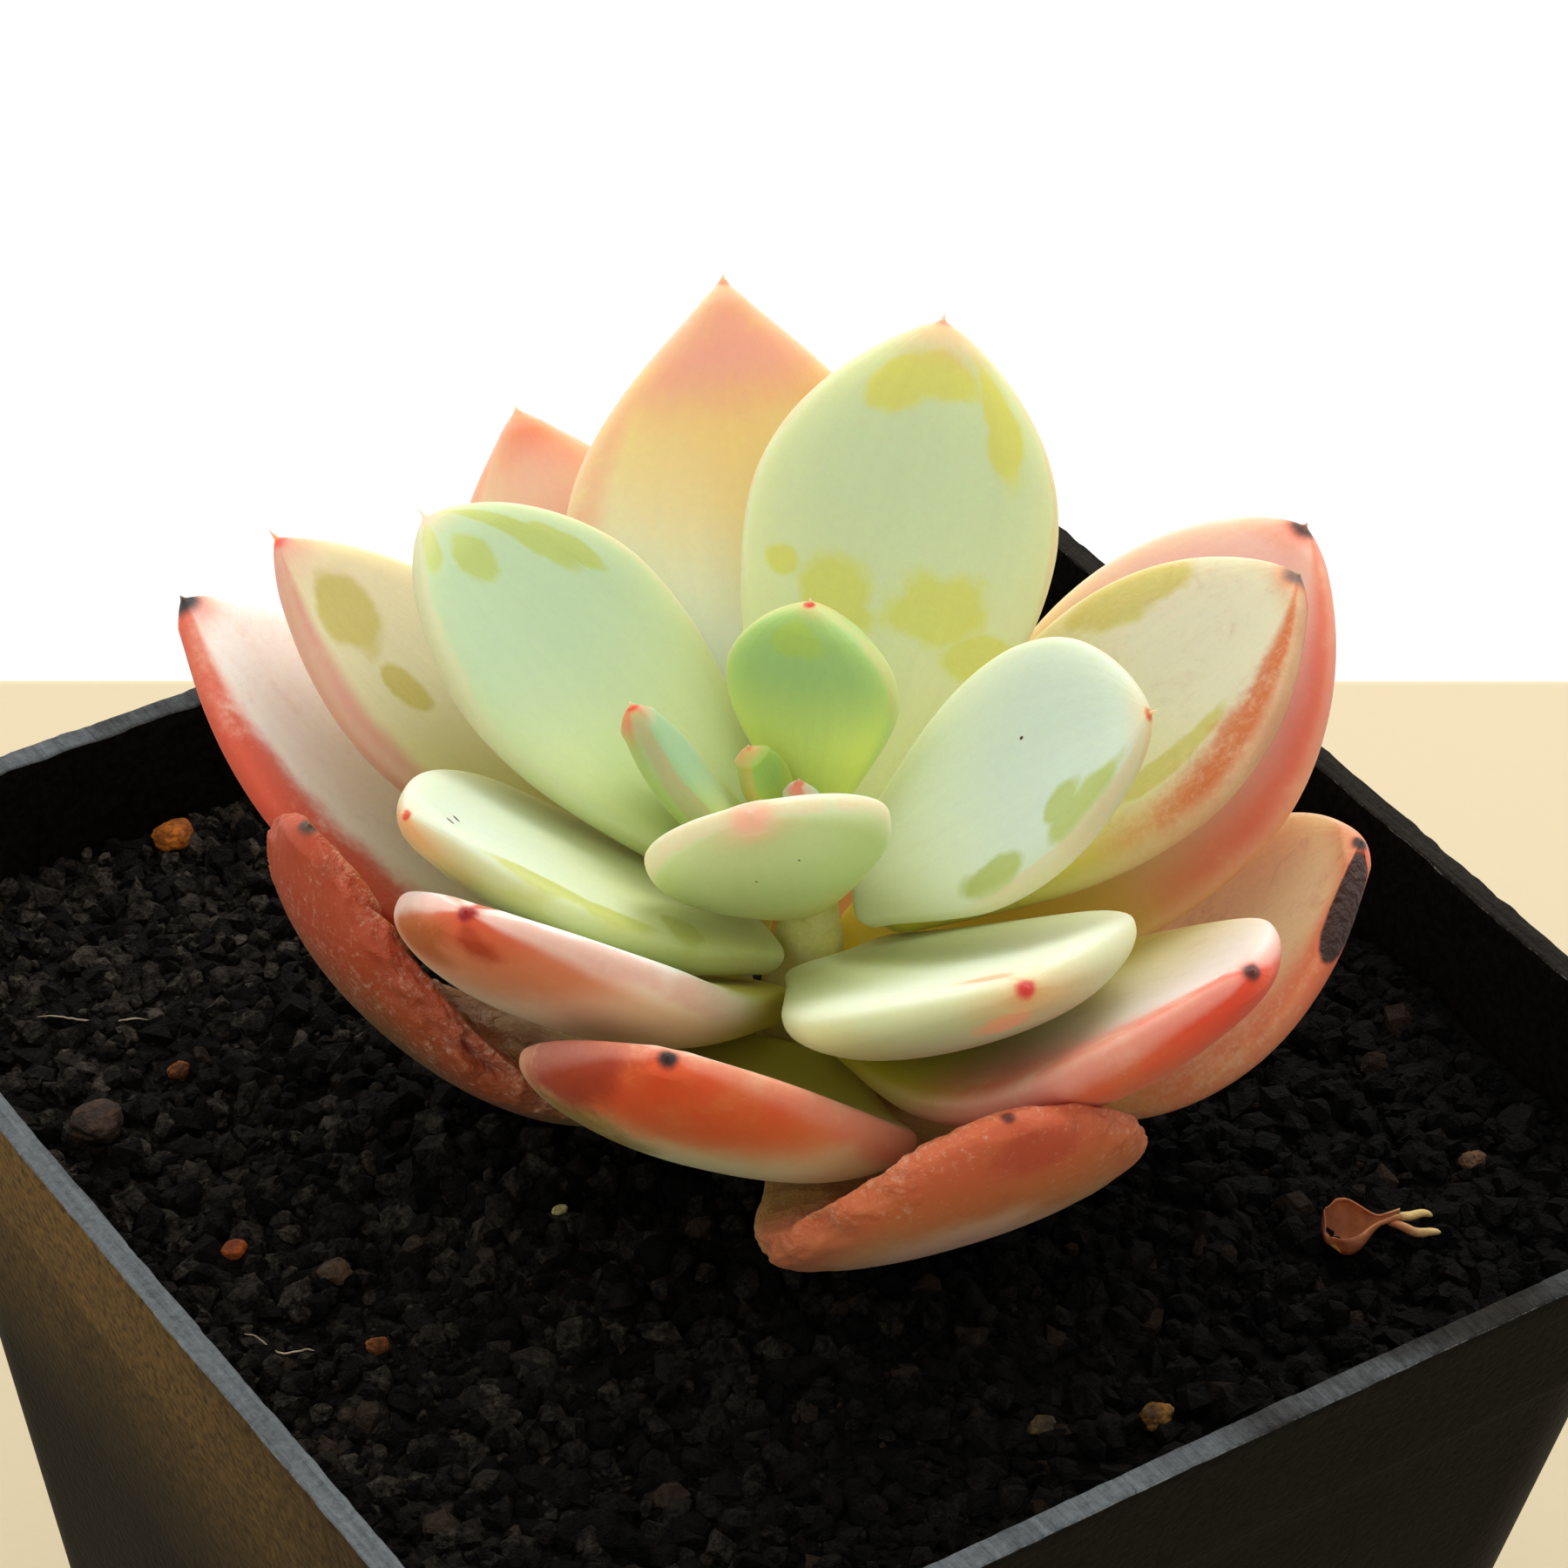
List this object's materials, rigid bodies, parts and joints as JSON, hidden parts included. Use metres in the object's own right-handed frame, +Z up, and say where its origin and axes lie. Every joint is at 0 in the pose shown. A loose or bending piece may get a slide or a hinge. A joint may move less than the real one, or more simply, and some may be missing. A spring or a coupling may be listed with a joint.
{
  "type": "potted succulent",
  "caption": "Rosette succulent with plump pointed leaves, mint at the heart and coral outside, on a short stem in a square tapered black pot of dark grit.",
  "frame": {"origin": "the middle of the pot's flat underside, on the surface it stands on", "axes": "+Z up; +X and +Y along the pot's sides, so that -Y and -X face the two walls seen in the picture"},
  "size_m": [0.0748, 0.0748, 0.0922],
  "materials": {
    "pot_plastic": "matt black moulded polypropylene",
    "soil": "loose dark grit and peat crumbs",
    "stem": "short corky stem",
    "heart_leaf": "smooth blue-green skin with a powdery bloom",
    "inner_leaf": "pale mint skin with a powdery bloom, rubbed off in yellow-green patches",
    "middle_leaf": "cream to orange skin with a bloom and pink margins",
    "outer_leaf": "salmon to red skin, scuffed and wrinkled with age",
    "amber_grain": "rough baked-clay grain",
    "brown_clod": "crumbly soil clod",
    "rust_grain": "rough baked-clay grain",
    "dry_scrap": "dry curled plant scrap"
  },
  "bodies": {
    "root": {"pot": "pot_plastic", "soil": "soil", "stem": "stem", "heart_leaf_1": "heart_leaf", "heart_leaf_2": "heart_leaf", "heart_leaf_3": "heart_leaf", "heart_leaf_4": "heart_leaf", "heart_leaf_5": "heart_leaf", "inner_leaf_1": "inner_leaf", "inner_leaf_2": "inner_leaf", "inner_leaf_3": "inner_leaf", "inner_leaf_4": "inner_leaf", "inner_leaf_5": "inner_leaf", "middle_leaf_1": "middle_leaf", "middle_leaf_2": "middle_leaf", "middle_leaf_3": "middle_leaf", "middle_leaf_4": "middle_leaf", "middle_leaf_5": "middle_leaf", "outer_leaf_1": "outer_leaf", "outer_leaf_2": "outer_leaf", "outer_leaf_3": "outer_leaf", "outer_leaf_4": "outer_leaf", "outer_leaf_5": "outer_leaf", "outer_leaf_6": "outer_leaf", "outer_leaf_7": "outer_leaf", "outer_leaf_8": "outer_leaf", "amber_grain": "amber_grain", "brown_clod": "brown_clod", "rust_grain": "rust_grain", "dry_scrap": "dry_scrap"}
  },
  "joints": []
}
